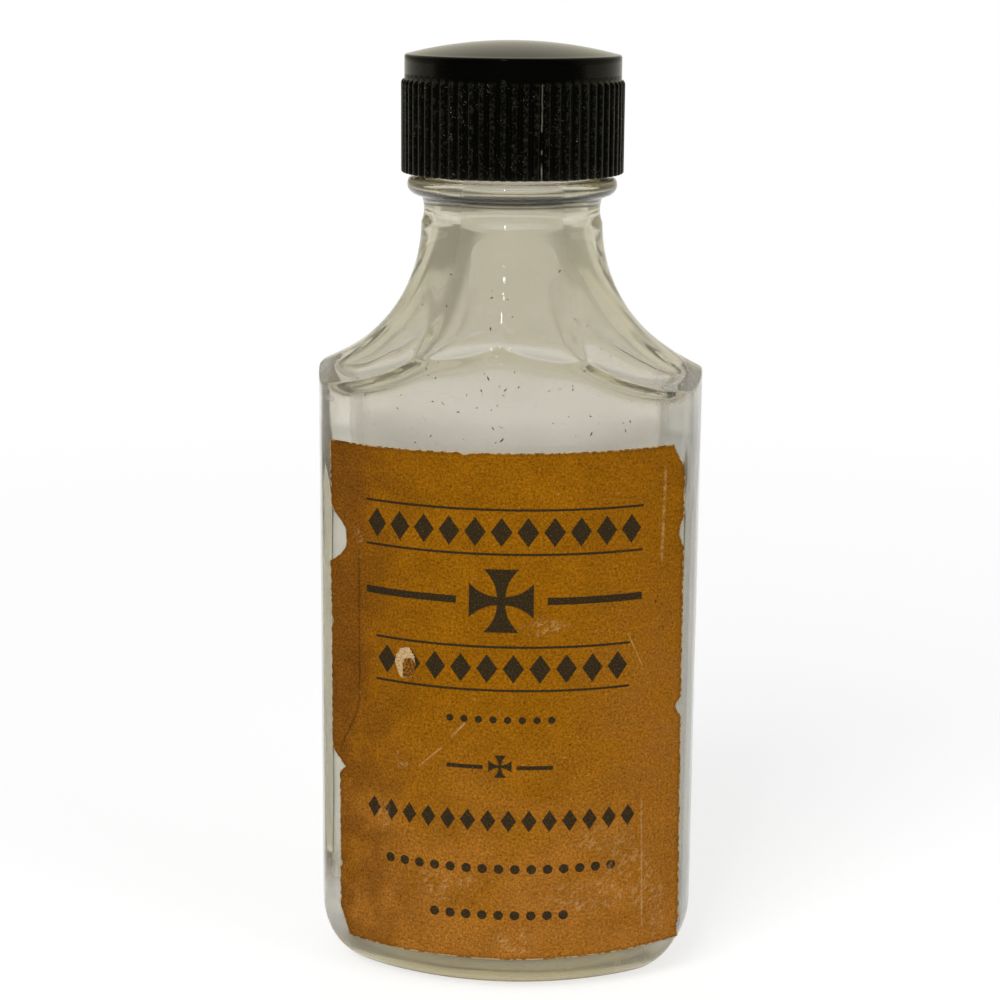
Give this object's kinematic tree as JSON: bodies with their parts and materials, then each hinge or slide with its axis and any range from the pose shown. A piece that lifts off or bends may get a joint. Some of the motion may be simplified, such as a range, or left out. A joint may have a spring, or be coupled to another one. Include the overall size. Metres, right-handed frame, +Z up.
{
  "type": "holy water bottle",
  "caption": "Small oval clear glass bottle with a faceted sloping shoulder, beaded neck, ribbed black screw cap with a paper-faced liner, and a worn pasted paper label on its front.",
  "frame": {"origin": "centre of the base, on the surface that the bottle stands on, on the axis of the neck", "axes": "+Z up along the neck, +X across the width of the body, -Y towards the labelled face"},
  "size_m": [0.0472, 0.0326, 0.1156],
  "materials": {
    "glass": "clear pressed glass, slightly warm and grey, with seeds and specks",
    "cap": "black moulded phenolic, glossy with worn ribs",
    "liner_board": "raw pulpboard",
    "liner_paper": "waxed paper",
    "label_paper": "aged ochre paper, matt, with worn and torn edges"
  },
  "bodies": {
    "bottle": {"bottle": "glass", "label": "label_paper"},
    "liner": {"liner_backing": "liner_board", "liner_facing": "liner_paper"},
    "cap": {"cap": "cap"}
  },
  "joints": [
    {"name": "cap_lift", "type": "slide", "parent": "bottle", "child": "liner", "axis": [0, 0, 1], "range_m": [0, 0.0127]},
    {"name": "cap_turn", "type": "hinge", "parent": "liner", "child": "cap", "pos_m": [0, 0, 0.106], "axis": [0, 0, 1], "range_deg": [0, 1444]}
  ],
  "couplings": [
    {"joint": "cap_turn", "follows": "cap_lift", "rad_per_m": 1979}
  ]
}
